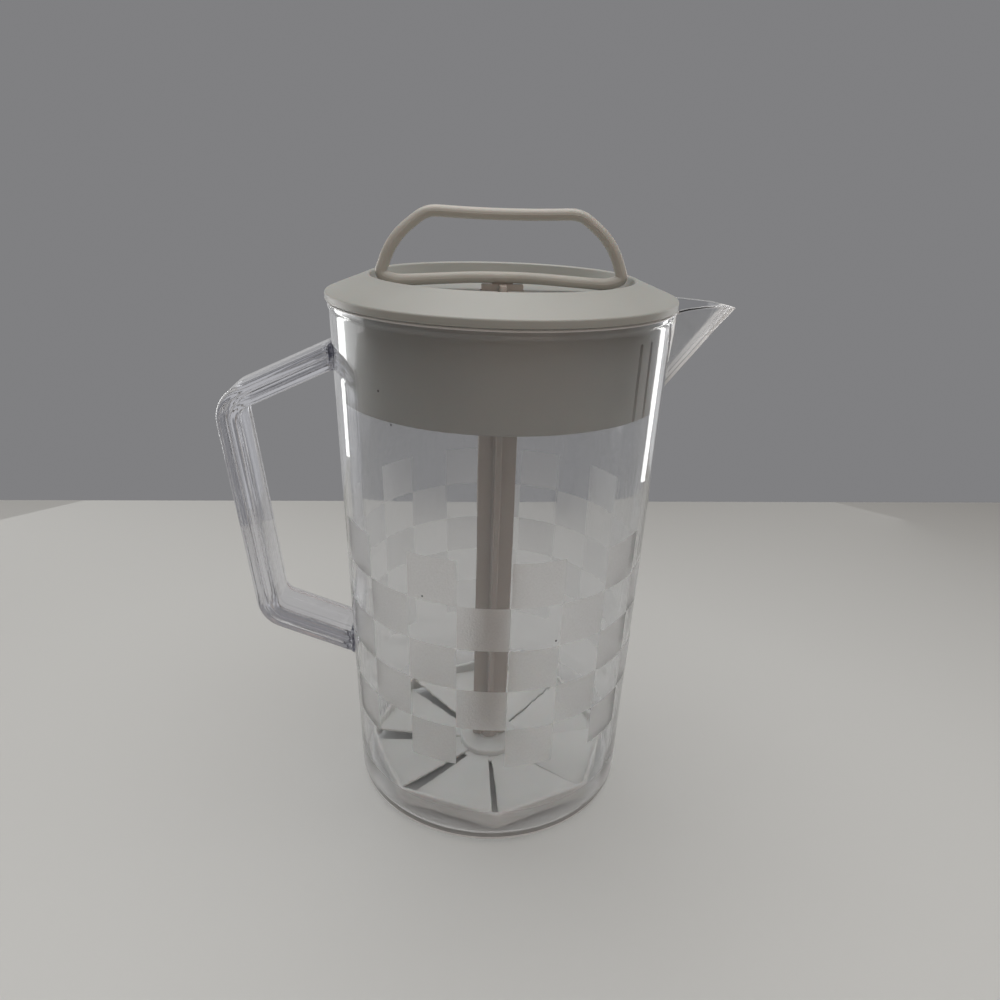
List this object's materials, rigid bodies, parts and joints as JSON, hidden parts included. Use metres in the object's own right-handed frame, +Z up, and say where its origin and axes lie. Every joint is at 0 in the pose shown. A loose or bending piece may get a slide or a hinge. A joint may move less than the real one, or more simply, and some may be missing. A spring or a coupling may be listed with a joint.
{
  "type": "stir pitcher",
  "caption": "Clear round pitcher with a pointed spout, a bar handle, a lift-off lid and a plunger whose bladed disc stirs the drink.",
  "frame": {"origin": "centre of the flat underside, on the jug's axis", "axes": "+Z up along the jug's axis, +X towards the spout, -X towards the handle"},
  "size_m": [0.204, 0.1342, 0.2498],
  "materials": {
    "pitcher_body": "clear, polished",
    "pour_handle": "clear, polished",
    "lid": "warm off-white, satin",
    "plunger_grip": "warm off-white, satin",
    "plunger_shaft": "warm off-white, satin",
    "mixing_disc": "white, satin"
  },
  "bodies": {
    "jug": {"pitcher_body": "pitcher_body", "pour_handle": "pour_handle"},
    "cover": {"lid": "lid"},
    "plunger": {"plunger_grip": "plunger_grip", "plunger_shaft": "plunger_shaft", "mixing_disc": "mixing_disc"}
  },
  "joints": [
    {"name": "lid_lift", "type": "slide", "parent": "jug", "child": "cover", "axis": [0, 0, 1], "range_m": [0, 0.23]},
    {"name": "plunger_stroke", "type": "slide", "parent": "cover", "child": "plunger", "axis": [0, 0, 1], "range_m": [0, 0.19]}
  ]
}
